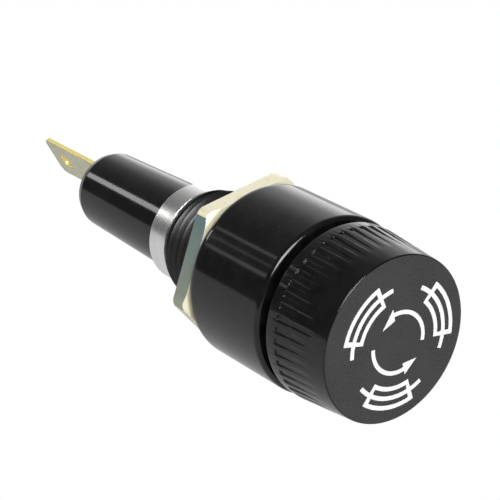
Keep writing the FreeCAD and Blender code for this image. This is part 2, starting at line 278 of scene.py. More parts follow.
def printInk(name):
    # hot-stamped white foil: slightly uneven, with pinholes where it missed the grain
    material, tree, inputs = newMaterial(name, {"IOR": 1.47, "Metallic": 0.0})
    mottle = useGroup(tree, grainGroup, {"Size": 0.5, "Detail": 4.0})
    pores = useGroup(tree, grainGroup, {"Size": 0.07, "Detail": 2.0, "Low": 0.68, "High": 0.74})
    base = mixColors(tree, mottle["Mask"], grey(0.93, (1.0, 1.0, 0.99)), grey(0.82, (1.0, 1.0, 0.98)))
    missed = calc(tree, "MULTIPLY", pores["Mask"], 0.5)
    plug(tree, inputs["Base Color"], mixColors(tree, missed, base, grey(0.3)))
    plug(tree, inputs["Roughness"], remap(tree, mottle["Height"], 0.3, 0.7, 0.42, 0.6))
    plug(tree, inputs["Normal"], bumpNormal(tree, pores["Height"], 0.004))
    return material


def metal(name, look):
    # plated, drawn or rolled metal, with brighter worn edges and a little tarnish
    material, tree, inputs = newMaterial(name, {"Metallic": 1.0, "IOR": 1.5})
    lines = useGroup(tree, linesGroup, {"Spacing": look["lines"], "Low": 0.35, "High": 0.7})
    cloud = useGroup(tree, grainGroup, {"Size": 1.4, "Detail": 3.0})
    grain = useGroup(tree, grainGroup, {"Size": 0.08, "Detail": 2.0})
    edges = useGroup(tree, edgeGroup, {"Width": 0.09, "Breakup": 0.7, "Amount": 0.9})
    cover = calc(tree, "MULTIPLY", cloud["Mask"], look.get("tarnishCover", 0.5))
    tarnished = mixColors(tree, cover, look["color"], look["tarnish"])
    speckle = calc(tree, "MULTIPLY", grain["Mask"], 0.25)
    speckled = mixColors(tree, speckle, tarnished, look["tarnish"])
    plug(tree, inputs["Base Color"], mixColors(tree, edges["Mask"], speckled, look["edge"]))
    rough = remap(tree, lines["Height"], 0.25, 0.75, look["roughLow"], look["roughHigh"])
    patchy = calc(tree, "ADD", rough, calc(tree, "MULTIPLY", cloud["Mask"], 0.06))
    plug(tree, inputs["Roughness"], patchy)
    drawn = bumpNormal(tree, lines["Height"], look["lineDepth"], edges["Normal"])
    plug(tree, inputs["Normal"], bumpNormal(tree, grain["Height"], 0.0008, drawn))
    return material


nutLook = {
    "cream": (0.93, 0.88, 0.66, 1.0),
    "gold": (0.86, 0.66, 0.30, 1.0),
    "upper": (0.20, 0.31, 0.31, 1.0),    # painted shade on the side flats, by which way they face, from their upper to their lower end
    "lower": (0.40, 0.43, 0.33, 1.0),
    "edge": (1.0, 0.96, 0.84, 1.0),
    "edgeWidth": 0.09,
    "creamMetal": 0.3,
    "sideMetal": 0.55,
    "roughLow": 0.3,
    "roughHigh": 0.46,
    "grainSize": 0.09,
    "grainDepth": 0.004,
}
bandLook = {
    "color": (0.90, 0.90, 0.89, 1.0),
    "tarnish": (0.78, 0.78, 0.76, 1.0),
    "edge": (0.98, 0.98, 0.97, 1.0),
    "lines": (3.0, 0.06, 3.0),
    "lineDepth": 0.0015,
    "roughLow": 0.2,
    "roughHigh": 0.32,
    "tarnishCover": 0.3,
}
tabLook = {
    "color": (0.66, 0.63, 0.45, 1.0),
    "tarnish": (0.50, 0.49, 0.36, 1.0),
    # edge is both the painted highlight on the sheared edges and in the hole, and the colour of worn edges
    "edge": (0.98, 0.84, 0.30, 1.0),
    "edgeMetal": 0.35,
    "flatNormal": (-0.871, 0.0, -0.491),     # square to the tab's faces
    "lines": (0.25, 4.0, 0.25),
    "lineDepth": 0.0015,
    "roughLow": 0.24,
    "roughHigh": 0.36,
    "edgeWidth": 0.2,
}
nickelLook = {
    "color": (0.80, 0.77, 0.71, 1.0),
    "tarnish": (0.62, 0.57, 0.48, 1.0),
    "edge": (0.93, 0.90, 0.84, 1.0),
    "lines": (1.6, 0.05, 1.6),
    "lineDepth": 0.0012,
    "roughLow": 0.16,
    "roughHigh": 0.3,
}
bronzeLook = {
    "color": (0.76, 0.56, 0.31, 1.0),
    "tarnish": (0.52, 0.34, 0.18, 1.0),
    "edge": (0.95, 0.77, 0.45, 1.0),
    "lines": (0.12, 2.4, 0.12),
    "lineDepth": 0.0012,
    "roughLow": 0.2,
    "roughHigh": 0.34,
}
brassLook = {
    "color": (0.80, 0.63, 0.30, 1.0),
    "tarnish": (0.58, 0.43, 0.20, 1.0),
    "edge": (0.97, 0.83, 0.48, 1.0),
    "lines": (0.9, 0.9, 0.07),
    "lineDepth": 0.0012,
    "roughLow": 0.2,
    "roughHigh": 0.36,
}
steelLook = {
    "color": (0.58, 0.58, 0.57, 1.0),
    "tarnish": (0.36, 0.34, 0.31, 1.0),
    "edge": (0.80, 0.80, 0.78, 1.0),
    "lines": (0.05, 0.5, 0.05),
    "lineDepth": 0.001,
    "roughLow": 0.24,
    "roughHigh": 0.4,
}
fuseCapLook = {
    "color": (0.82, 0.81, 0.78, 1.0),
    "tarnish": (0.66, 0.64, 0.58, 1.0),
    "edge": (0.95, 0.94, 0.91, 1.0),
    "lines": (2.0, 0.04, 2.0),
    "lineDepth": 0.001,
    "roughLow": 0.12,
    "roughHigh": 0.24,
}
solderLook = {
    "color": (0.56, 0.56, 0.56, 1.0),
    "tarnish": (0.38, 0.38, 0.39, 1.0),
    "edge": (0.72, 0.72, 0.72, 1.0),
    "lines": (0.4, 0.4, 0.4),
    "lineDepth": 0.004,
    "roughLow": 0.34,
    "roughHigh": 0.5,
}
wireLook = {
    "color": (0.76, 0.74, 0.69, 1.0),
    "tarnish": (0.60, 0.50, 0.40, 1.0),
    "edge": (0.90, 0.88, 0.84, 1.0),
    "lines": (0.04, 1.5, 0.04),
    "lineDepth": 0.0006,
    "roughLow": 0.2,
    "roughHigh": 0.3,
}


def zincPlating(name, look):
    # zinc plating, cream with gold stains; flats that turn sideways get a grey-green painted shade in place
    # of their lit cream, darker towards their top
    material, tree, inputs = newMaterial(name, {"IOR": 1.5})
    grain = useGroup(tree, grainGroup, {"Size": look["grainSize"], "Detail": 3.0, "Low": 0.3, "High": 0.7})
    cloud = useGroup(tree, grainGroup, {"Size": 0.8, "Detail": 3.0})
    stain = useGroup(tree, grainGroup, {"Size": 0.9, "Detail": 4.0, "Low": 0.6, "High": 0.7})
    edges = useGroup(tree, edgeGroup, {"Width": look["edgeWidth"], "Breakup": 0.35, "Amount": 1.0})
    # which way a face turns picks its colour: sideways flats get painted shade, the rest the lit cream
    normal = tree.nodes.new("ShaderNodeNewGeometry").outputs["True Normal"]
    sideways = addNode(tree, "ShaderNodeSeparateXYZ", {"Vector": normal}).outputs[0]
    side = remap(tree, calc(tree, "ABSOLUTE", sideways), 0.78, 0.9, 0.0, 1.0, smooth=True)
    place = tree.nodes.new("ShaderNodeTexCoord").outputs["Object"]
    height = addNode(tree, "ShaderNodeSeparateXYZ", {"Vector": place}).outputs[2]
    # the painted shade on the side flats is darker and greener towards their top
    drop = remap(tree, height, 7 * mm, -2 * mm, 0.0, 1.0)
    paintedSideShade = mixColors(tree, drop, look["upper"], look["lower"])
    stained = calc(tree, "MULTIPLY", stain["Mask"], 0.5)
    creamed = mixColors(tree, stained, look["cream"], look["gold"])
    base = mixColors(tree, side, creamed, paintedSideShade)
    speckle = calc(tree, "MULTIPLY", grain["Mask"], 0.22)
    speckled = mixColors(tree, speckle, base, grey(0.75), blend="MULTIPLY")
    plug(tree, inputs["Base Color"], mixColors(tree, edges["Mask"], speckled, look["edge"]))
    plug(tree, inputs["Metallic"], remap(tree, side, 0.0, 1.0, look["creamMetal"], look["sideMetal"]))
    rough = remap(tree, cloud["Height"], 0.3, 0.7, look["roughLow"], look["roughHigh"])
    plug(tree, inputs["Roughness"], rough)
    plug(tree, inputs["Normal"], bumpNormal(tree, grain["Height"], look["grainDepth"], edges["Normal"]))
    return material


def sheetBrass(name, look):
    # rolled brass strip: its flats keep a dull tarnished colour, while its sheared edges and its hole's wall,
    # picked by which way they face, get a bright yellow painted highlight
    material, tree, inputs = newMaterial(name, {"IOR": 1.5})
    lines = useGroup(tree, linesGroup, {"Spacing": look["lines"], "Low": 0.35, "High": 0.7})
    cloud = useGroup(tree, grainGroup, {"Size": 1.1, "Detail": 3.0})
    edges = useGroup(tree, edgeGroup, {"Width": look["edgeWidth"], "Breakup": 0.5, "Amount": 0.8})
    normal = tree.nodes.new("ShaderNodeNewGeometry").outputs["True Normal"]
    facing = addNode(tree, "ShaderNodeVectorMath", operation="DOT_PRODUCT")
    plug(tree, facing.inputs[0], normal)
    plug(tree, facing.inputs[1], look["flatNormal"])
    # flat is 1 on the tab's faces; everything turned away from them gets the painted highlight
    flat = remap(tree, calc(tree, "ABSOLUTE", facing.outputs["Value"]), 0.5, 0.9, 0.0, 1.0, smooth=True)
    dull = mixColors(tree, calc(tree, "MULTIPLY", cloud["Mask"], 0.5), look["color"], look["tarnish"])
    base = mixColors(tree, flat, look["edge"], dull)
    plug(tree, inputs["Base Color"], mixColors(tree, edges["Mask"], base, look["edge"]))
    plug(tree, inputs["Metallic"], remap(tree, flat, 0.0, 1.0, look["edgeMetal"], 1.0))
    rough = remap(tree, lines["Height"], 0.25, 0.75, look["roughLow"], look["roughHigh"])
    plug(tree, inputs["Roughness"], rough)
    plug(tree, inputs["Normal"], bumpNormal(tree, lines["Height"], look["lineDepth"], edges["Normal"]))
    return material


def fibreBoard(name):
    # punched laminate: cloth weave under a brown resin
    material, tree, inputs = newMaterial(name, {"IOR": 1.54, "Metallic": 0.0})
    acrossX = useGroup(tree, linesGroup, {"Spacing": (0.22, 0.5, 2.6)})
    acrossZ = useGroup(tree, linesGroup, {"Spacing": (2.6, 0.5, 0.22)})
    weave = calc(tree, "MAXIMUM", acrossX["Mask"], acrossZ["Mask"])
    base = mixColors(tree, weave, (0.105, 0.052, 0.022, 1.0), (0.19, 0.10, 0.045, 1.0))
    edges = useGroup(tree, edgeGroup, {"Width": 0.12, "Breakup": 0.3})
    plug(tree, inputs["Base Color"], mixColors(tree, edges["Mask"], base, (0.3, 0.19, 0.1, 1.0)))
    plug(tree, inputs["Roughness"], remap(tree, weave, 0.0, 1.0, 0.34, 0.52))
    plug(tree, inputs["Normal"], bumpNormal(tree, weave, 0.01, edges["Normal"]))
    return material


def clearGlass(name):
    material, tree, inputs = newMaterial(name, {"IOR": 1.5, "Metallic": 0.0, "Transmission Weight": 1.0})
    waves = useGroup(tree, linesGroup, {"Spacing": (0.5, 6.0, 0.5)})
    smears = useGroup(tree, grainGroup, {"Size": 2.4, "Detail": 4.0})
    base = mixColors(tree, smears["Mask"], (0.97, 0.99, 0.98, 1.0), (0.93, 0.97, 0.95, 1.0))
    plug(tree, inputs["Base Color"], base)
    plug(tree, inputs["Roughness"], remap(tree, smears["Mask"], 0.0, 1.0, 0.01, 0.06))
    plug(tree, inputs["Normal"], bumpNormal(tree, waves["Height"], 0.0012))
    return material


gloss = blackPlastic("glossBlackPlastic", glossLook)
threadPlastic = blackPlastic("threadPlastic", dict(glossLook, roughLow=0.3, roughHigh=0.42))
satin = satinPlastic("satinPrintedFace", satinLook)
ink = printInk("whitePrint")
nutMetal = zincPlating("nutPlating", nutLook)
bandMetal = metal("tinnedBand", bandLook)
tabMetal = sheetBrass("brassTab", tabLook)
brass = metal("plainBrass", brassLook)
nickel = metal("nickelBrass", nickelLook)
bronze = metal("springBronze", bronzeLook)
steel = metal("springSteel", steelLook)
fuseCapMetal = metal("fuseCapNickel", fuseCapLook)
solder = metal("dullSolder", solderLook)
wire = metal("fuseWire", wireLook)
board = fibreBoard("fibreBoard")
glass = clearGlass("clearGlass")
print("materials:", len(bpy.data.materials))


# Mesh helpers: every piece is made where it belongs, so its object stays at the origin

def toObject(name, work, materials):
    bmesh.ops.remove_doubles(work, verts=work.verts, dist=1e-7)
    bmesh.ops.recalc_face_normals(work, faces=work.faces)
    mesh = bpy.data.meshes.new(name)
    work.to_mesh(mesh)
    work.free()
    for material in materials:
        mesh.materials.append(material)
    piece = bpy.data.objects.new(name, mesh)
    bpy.context.scene.collection.objects.link(piece)
    return piece


def bakeModifiers(piece):
    depsgraph = bpy.context.evaluated_depsgraph_get()
    mesh = bpy.data.meshes.new_from_object(piece.evaluated_get(depsgraph))
    mesh.name = piece.name
    piece.modifiers.clear()
    piece.data = mesh
    return piece


def bakeTree(piece, tree, values):
    modifier = piece.modifiers.new(tree.name, "NODES")
    modifier.node_group = tree
    for item in tree.interface.items_tree:
        if item.item_type == "SOCKET" and item.in_out == "INPUT" and item.name in values:
            modifier[item.identifier] = values[item.name]
    bakeModifiers(piece)
    work = bmesh.new()
    work.from_mesh(piece.data)
    bmesh.ops.recalc_face_normals(work, faces=work.faces)
    work.to_mesh(piece.data)
    work.free()
    return piece


def softenEdges(piece, width, segments=2, limit=30):
    bevel = piece.modifiers.new("edges", "BEVEL")
    bevel.width = width
    bevel.segments = segments
    bevel.limit_method = "ANGLE"
    bevel.angle_limit = math.radians(limit)
    return bakeModifiers(piece)


def shade(piece, sharpAngle=38):
    piece.data.shade_smooth()
    piece.data.set_sharp_from_angle(angle=math.radians(sharpAngle))
    return piece


def attach(piece, body, slot, *nodes):
    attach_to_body(piece, body)
    if nodes:
        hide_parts(*nodes)
    print(piece.name, len(piece.data.polygons), "faces on", body)


def rounded(corners, steps=5):
    # corners are (radius, y, fillet); each fillet is an arc with a close support point on both sides
    points = []
    for index, (radius, y, fillet) in enumerate(corners):
        here = Vector((radius, y))
        if fillet == 0:
            points.append(here)
            continue
        before = (Vector(corners[index - 1][:2]) - here).normalized()
        after = (Vector(corners[(index + 1) % len(corners)][:2]) - here).normalized()
        half = before.angle(after) / 2
        reach = fillet / math.tan(half)
        centre = here + (before + after).normalized() * (fillet / math.sin(half))
        start = here + before * reach
        end = here + after * reach
        sweep = math.pi - 2 * half
        points.append(start + before * fillet * 0.3)
        for step in range(steps + 1):
            first = math.sin(sweep * (1 - step / steps)) / math.sin(sweep)
            last = math.sin(sweep * step / steps) / math.sin(sweep)
            points.append(centre + (start - centre) * first + (end - centre) * last)
        points.append(end + after * fillet * 0.3)
    return points


def between(start, end, count):
    # count even steps from start towards end, without either of them
    return [Vector(start).lerp(Vector(end), (index + 1) / (count + 1)) for index in range(count)]


def spun(points, segments, closed=True):
    # turns (radius, y) points about the Y axis
    work = bmesh.new()
    rings = []
    for radius, y in points:
        if radius < 1e-9:
            rings.append([work.verts.new((0, y, 0))] * segments)
            continue
        ring = []
        for index in range(segments):
            angle = 2 * math.pi * index / segments
            ring.append(work.verts.new((radius * math.cos(angle), y, radius * math.sin(angle))))
        rings.append(ring)
    following = rings[1:] + rings[:1] if closed else rings[1:]
    for ring, other in zip(rings, following):
        for index in range(segments):
            ahead = (index + 1) % segments
            corners = [ring[index], ring[ahead], other[ahead], other[index]]
            unique = [corner for place, corner in enumerate(corners) if corner not in corners[:place]]
            if len(unique) > 2:
                work.faces.new(unique)
    return work


def polar(radius, y, degrees):
    angle = math.radians(degrees)
    return Vector((radius * math.cos(angle), y, radius * math.sin(angle)))


# Geometry Nodes: flutes cut into a turned skirt, and a helical thread ridge

geometryKind = "NodeSocketGeometry"
intKind = "NodeSocketInt"
materialKind = "NodeSocketMaterial"


def setPosition(tree, geometry, position):
    return addNode(tree, "GeometryNodeSetPosition", {"Geometry": geometry, "Position": position}).outputs[0]


def setMaterial(tree, geometry, material, selection=True):
    node = addNode(tree, "GeometryNodeSetMaterial", {"Geometry": geometry, "Material": material})
    plug(tree, node.inputs["Selection"], selection)
    return node.outputs[0]


def makeFlutesTree():
    # sinks each flute's flat floor and sloping sides into a turned skirt
    tree, given, result = newGroup(
        "GeometryNodeTree", "skirtFlutes",
        [("Geometry", geometryKind, None), ("Count", intKind, 48), ("Radius", floatKind, 0.009),
         ("Front", floatKind, 0.0), ("Rear", floatKind, 0.0), ("Front Floor", floatKind, 0.0085),
         ("Rear Floor", floatKind, 0.0087), ("Floor Width", floatKind, 0.0005),
         ("Side Slope", floatKind, 2.0), ("Softness", floatKind, 0.00002), ("Face", floatKind, 0.0),
         ("Side Material", materialKind, None), ("Face Material", materialKind, None)],
        [("Geometry", geometryKind)])
    position = tree.nodes.new("GeometryNodeInputPosition").outputs[0]
    x, y, z = addNode(tree, "ShaderNodeSeparateXYZ", {"Vector": position}).outputs
    squares = calc(tree, "ADD", calc(tree, "MULTIPLY", x, x), calc(tree, "MULTIPLY", z, z))
    radius = calc(tree, "SQRT", squares)
    half = calc(tree, "DIVIDE", math.pi, given["Count"])
    angle = calc(tree, "WRAP", calc(tree, "ARCTAN2", z, x), half, calc(tree, "MULTIPLY", half, -1.0))
    across = calc(tree, "ABSOLUTE", calc(tree, "MULTIPLY", angle, given["Radius"]))
    beside = calc(tree, "SUBTRACT", across, calc(tree, "MULTIPLY", given["Floor Width"], 0.5))
    side = calc(tree, "MULTIPLY", calc(tree, "MAXIMUM", beside, 0.0), given["Side Slope"])
    share = addNode(tree, "ShaderNodeMapRange", clamp=False)
    ends = (y, given["Front"], given["Rear"], given["Front Floor"], given["Rear Floor"])
    for socket, value in zip(share.inputs, ends):
        plug(tree, socket, value)
    outOfReach = calc(tree, "GREATER_THAN", y, given["Rear"])
    floor = calc(tree, "ADD", calc(tree, "ADD", share.outputs[0], side), outOfReach)
    cut = calc(tree, "SMOOTH_MIN", radius, floor, given["Softness"])
    scale = calc(tree, "DIVIDE", calc(tree, "MINIMUM", cut, radius), calc(tree, "MAXIMUM", radius, 1e-6))
    moved = addNode(tree, "ShaderNodeCombineXYZ")
    plug(tree, moved.inputs[0], calc(tree, "MULTIPLY", x, scale))
    plug(tree, moved.inputs[1], y)
    plug(tree, moved.inputs[2], calc(tree, "MULTIPLY", z, scale))
    fluted = setPosition(tree, given["Geometry"], moved.outputs[0])
    solid = addNode(tree, "GeometryNodeRealizeInstances", {"Geometry": fluted})
    sided = setMaterial(tree, solid.outputs[0], given["Side Material"])
    onFace = calc(tree, "LESS_THAN", y, given["Face"])
    plug(tree, result["Geometry"], setMaterial(tree, sided, given["Face Material"], onFace))
    return tree


def makeThreadTree():
    tree, given, result = newGroup(
        "GeometryNodeTree", "threadRidge",
        [("Geometry", geometryKind, None), ("Base Radius", floatKind, 0.0054), ("Height", floatKind, 0.0006),
         ("Half Width", floatKind, 0.00044), ("Sink", floatKind, 0.0001), ("Pitch", floatKind, 0.001),
         ("Start", floatKind, 0.0), ("Turns", floatKind, 6.0), ("Fade", floatKind, 0.4),
         ("Steps", intKind, 600), ("Around", intKind, 17), ("Material", materialKind, None)],
        [("Geometry", geometryKind)])
    grid = addNode(tree, "GeometryNodeMeshGrid", {"Size X": 1.0, "Size Y": 1.0})
    plug(tree, grid.inputs["Vertices X"], given["Steps"])
    plug(tree, grid.inputs["Vertices Y"], given["Around"])
    position = tree.nodes.new("GeometryNodeInputPosition").outputs[0]
    x, y, z = addNode(tree, "ShaderNodeSeparateXYZ", {"Vector": position}).outputs
    turn = calc(tree, "MULTIPLY", calc(tree, "ADD", x, 0.5), given["Turns"])
    loop = calc(tree, "MULTIPLY", calc(tree, "ADD", y, 0.5), 2.0)   # 0 to 1 over the ridge, 1 to 2 under it
    under = calc(tree, "GREATER_THAN", loop, 1.0001)
    tent = calc(tree, "SUBTRACT", 1.0, calc(tree, "ABSOLUTE", calc(tree, "SUBTRACT", loop, 1.0)))
    across = calc(tree, "SUBTRACT", calc(tree, "MULTIPLY", tent, 2.0), 1.0)
    offCrest = calc(tree, "ABSOLUTE", calc(tree, "SUBTRACT", calc(tree, "MULTIPLY", loop, 2.0), 1.0))
    rise = calc(tree, "SUBTRACT", 1.0, offCrest)
    crest = calc(tree, "MINIMUM", calc(tree, "MULTIPLY", calc(tree, "MAXIMUM", rise, 0.0), 1.18), 1.0)
    toEnd = calc(tree, "MINIMUM", turn, calc(tree, "SUBTRACT", given["Turns"], turn))
    fade = remap(tree, toEnd, 0.0, given["Fade"], 0.0, 1.0, smooth=True)
    overCore = calc(tree, "MULTIPLY", calc(tree, "MULTIPLY", crest, fade), given["Height"])
    sunk = calc(tree, "MULTIPLY", calc(tree, "MULTIPLY", under, given["Sink"]), -1.0)
    raised = calc(tree, "ADD", given["Base Radius"], overCore)
    radius = calc(tree, "ADD", raised, calc(tree, "MULTIPLY", sunk, fade))
    axial = calc(tree, "MULTIPLY", calc(tree, "MULTIPLY", across, given["Half Width"]), fade)
    climb = calc(tree, "ADD", given["Start"], calc(tree, "MULTIPLY", turn, given["Pitch"]))
    height = calc(tree, "ADD", climb, axial)
    angle = calc(tree, "MULTIPLY", turn, 2 * math.pi)
    placed = addNode(tree, "ShaderNodeCombineXYZ")                  # a right-hand helix about +Y
    plug(tree, placed.inputs[0], calc(tree, "MULTIPLY", radius, calc(tree, "SINE", angle)))
    plug(tree, placed.inputs[1], height)
    plug(tree, placed.inputs[2], calc(tree, "MULTIPLY", radius, calc(tree, "COSINE", angle)))
    ridge = setPosition(tree, grid.outputs["Mesh"], placed.outputs[0])
    welded = addNode(tree, "GeometryNodeMergeByDistance", {"Geometry": ridge, "Distance": 1e-7})
    joined = tree.nodes.new("GeometryNodeJoinGeometry")
    tree.links.new(welded.outputs[0], joined.inputs[0])
    tree.links.new(given["Geometry"], joined.inputs[0])
    solid = addNode(tree, "GeometryNodeRealizeInstances", {"Geometry": joined.outputs[0]})
    # y is read again where the ridge now is: its material covers the ridge and the core between its turns
    margin = calc(tree, "MULTIPLY", given["Pitch"], 0.6)
    length = calc(tree, "MULTIPLY", given["Turns"], given["Pitch"])
    last = calc(tree, "ADD", calc(tree, "ADD", given["Start"], length), margin)
    after = calc(tree, "GREATER_THAN", y, calc(tree, "SUBTRACT", given["Start"], margin))
    threaded = calc(tree, "MULTIPLY", after, calc(tree, "LESS_THAN", y, last))
    plug(tree, result["Geometry"], setMaterial(tree, solid.outputs[0], given["Material"], threaded))
    return tree


flutesTree = makeFlutesTree()
threadTree = makeThreadTree()

bodyLow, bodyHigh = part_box("holder_body")
knobLow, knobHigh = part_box("knob_shell")
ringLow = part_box("ring_terminal")[0]
nutLow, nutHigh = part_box("mounting_nut")
discLow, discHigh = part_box("end_disc")
sleeveLow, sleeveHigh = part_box("contact_sleeve")
tabLow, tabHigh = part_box("end_terminal")


# Knob

knob = {
    "segments": 768,             # 16 to each flute
    "flutes": 48,
    "gap": 1.1 * mm,             # from the knob's rear rim to the collar
    "faceRadius": 8.4 * mm,
    "edge": 0.15 * mm,
    "rimEdge": 0.12 * mm,
    "band": 1.3 * mm,            # plain band behind the flutes
    "fluteFront": 1.8 * mm,      # behind the face
    "fluteFloor": 0.46 * mm,
    "fluteDepth": 0.16 * mm,     # at the rear end
    "sideSlope": 1.6,
    "softness": 0.02 * mm,
    "bossRadius": 6.7 * mm,
    "bossRear": 1.4 * mm,        # how far the boss reaches into the collar
    "ferruleOut": 6.22 * mm,
    "ferruleIn": 5.78 * mm,
    "grooveFront": 4.38 * mm,    # behind the face
    "rivetRadius": 1.02 * mm,
    "rivetDepth": 5.58 * mm,
}


def makeKnob(look):
    face = knobLow.y
    rear = bodyLow.y - look["gap"]
    radius = knobHigh.x
    bandFront = rear - look["band"]
    slope = (radius - look["faceRadius"]) / (bandFront - face)
    flutesFront = face + look["fluteFront"]
    rimFront = rear - 0.3 * mm

    def onCone(y):
        return Vector((min(look["faceRadius"] + slope * (y - face), radius), y))

    outside = rounded([(look["faceRadius"], face, look["edge"]), (radius, bandFront, 0), (0, face, 0)])[:-2]
    outside = [Vector((share * look["faceRadius"], face)) for share in (0.0, 0.25, 0.5, 0.75, 0.9)] + outside
    outside += [onCone(flutesFront)] + between(onCone(flutesFront), onCone(bandFront), 24)
    outside += [onCone(bandFront), onCone(bandFront + 0.05 * mm)]
    bossRear = bodyLow.y + look["bossRear"]
    groove = face + look["grooveFront"]
    stem = knobHigh.y
    edge = look["rimEdge"]
    rim = rounded([
        (radius, rimFront, 0), (radius, rear, edge), (look["bossRadius"], rear, edge),
        (look["bossRadius"], bossRear, edge), (look["ferruleOut"], bossRear, 0),
        (look["ferruleOut"], groove, 0), (look["ferruleIn"], groove, 0), (look["ferruleIn"], stem, edge),
        (look["rivetRadius"], stem, 0), (look["rivetRadius"], stem - look["rivetDepth"], 0),
        (0, stem - look["rivetDepth"], 0)], steps=3)
    work = spun(outside + rim, look["segments"], closed=False)
    piece = toObject("knob", work, [])
    bakeTree(piece, flutesTree, {
        "Count": look["flutes"], "Radius": radius, "Front": flutesFront, "Rear": bandFront + 0.01 * mm,
        "Front Floor": onCone(flutesFront).x, "Rear Floor": radius - look["fluteDepth"],
        "Floor Width": look["fluteFloor"], "Side Slope": look["sideSlope"], "Softness": look["softness"],
        "Face": face + 0.01 * mm, "Side Material": gloss, "Face Material": satin})
    shade(piece, 50)
    attach(piece, "cap", "black_plastic_cap", "knob_shell")


makeKnob(knob)


# Print on the knob's face: three fuse symbols round two arrows, as one thin raised mesh

printing = {
    "centre": (0.45 * mm, -0.38 * mm),   # it is stamped a little off the axis
    "thickness": 0.02 * mm,
    "step": 2.0,                         # degrees between the points of an arc
    "symbolAngles": (140.0, 20.0, -100.0),
    "symbolSpan": 83.0,                  # degrees, with the leads
    "caseSpan": 56.0,
    "innerRadius": 4.4 * mm,
    "outerRadius": 6.75 * mm,
    "stroke": 0.44 * mm,
    "arrowStroke": 0.42 * mm,
    "arrows": (
        {"radius": 3.05 * mm, "tail": -10.6, "neck": 102.0, "tip": 138.7, "tipRadius": 2.6 * mm},
        {"radius": 3.05 * mm, "tail": 178.0, "neck": 285.0, "tip": 316.0, "tipRadius": 3.2 * mm}),
    "headHalf": 0.62 * mm,
}


def arcCells(work, radii, angles, step, filled):
    # a grid of cells in radius and angle; filled says which of them hold ink
    steps = [max(1, round((high - low) / step)) for low, high in zip(angles, angles[1:])]
    turns = [angles[0]]
    columns = []
    for index, count in enumerate(steps):
        for part in range(count):
            turns.append(angles[index] + (angles[index + 1] - angles[index]) * (part + 1) / count)
            columns.append(index)
    points = {}

    def point(row, column):
        if (row, column) not in points:
            points[row, column] = work.verts.new(polar(radii[row], 0, turns[column]))
        return points[row, column]

    for column, span in enumerate(columns):
        for row in range(len(radii) - 1):
            if filled(row, span):
                work.faces.new((point(row, column), point(row + 1, column),
                                point(row + 1, column + 1), point(row, column + 1)))


def makePrint(look):
    work = bmesh.new()
    stroke = look["stroke"]
    middle = (look["innerRadius"] + look["outerRadius"]) / 2
    radii = [look["innerRadius"], look["innerRadius"] + stroke, middle - stroke / 2, middle + stroke / 2,
             look["outerRadius"] - stroke, look["outerRadius"]]
    bar = math.degrees(stroke / middle)
    for angle in look["symbolAngles"]:
        lead = look["symbolSpan"] / 2
        case = look["caseSpan"] / 2
        marks = [angle + turn for turn in (-lead, -case, bar - case, case - bar, case, lead)]

        def filled(row, span):
            if row == 2:
                return True                      # the link, right through
            if span in (1, 3):
                return True                      # ends of the case
            return span == 2 and row in (0, 4)   # long sides of the case

        arcCells(work, radii, marks, look["step"], filled)
    for arrow in look["arrows"]:
        half = look["arrowStroke"] / 2
        band = [arrow["radius"] - half, arrow["radius"] + half]
        arcCells(work, band, [arrow["tail"], arrow["neck"]], look["step"], lambda row, span: True)
        base = [polar(arrow["radius"] + shift, 0, arrow["neck"])
                for shift in (-look["headHalf"], -half, half, look["headHalf"])]
        tip = polar(arrow["tipRadius"], 0, arrow["tip"])
        work.faces.new([work.verts.new(corner) for corner in base + [tip]])
    bmesh.ops.remove_doubles(work, verts=work.verts, dist=1e-7)
    top = bmesh.ops.extrude_face_region(work, geom=list(work.faces))
    raised = [item for item in top["geom"] if isinstance(item, bmesh.types.BMVert)]
    sunk = knobLow.y + look["thickness"]
    for vertex in work.verts:
        vertex.co += Vector((look["centre"][0], sunk, look["centre"][1]))
    for vertex in raised:
        vertex.co.y = knobLow.y - look["thickness"]
    piece = toObject("facePrint", work, [ink])
    attach(piece, "cap", "white_print")


makePrint(printing)


# Holder moulding: collar, threaded neck and tube

holder = {
    "segments": 256,
    "collarEdge": 0.5 * mm,
    "collarRear": 0.9 * mm,
    "mouthEdge": 0.12 * mm,
    "reliefRadius": 5.5 * mm,
    "threadStart": 2.05 * mm,
    "threadEnd": 9.05 * mm,
    "crest": 6.0 * mm,
    "root": 5.42 * mm,
    "pitch": 1.0 * mm,
    "tubeFront": 4.8 * mm,
    "tubeRear": 4.3 * mm,
    "tubeEdge": 0.35 * mm,       # how far the tube's end is drawn in
    "tubeTaper": 0.9 * mm,
    "mouth": 7.0 * mm,
    "chamber": 3.45 * mm,
    "neckBore": 4.12 * mm,
    "sleeveStep": -1.43 * mm,    # where the neck's bore meets the sleeve's wider one
    "ridgeLead": 0.45 * mm,      # from the thread's start to its ridge's middle
}


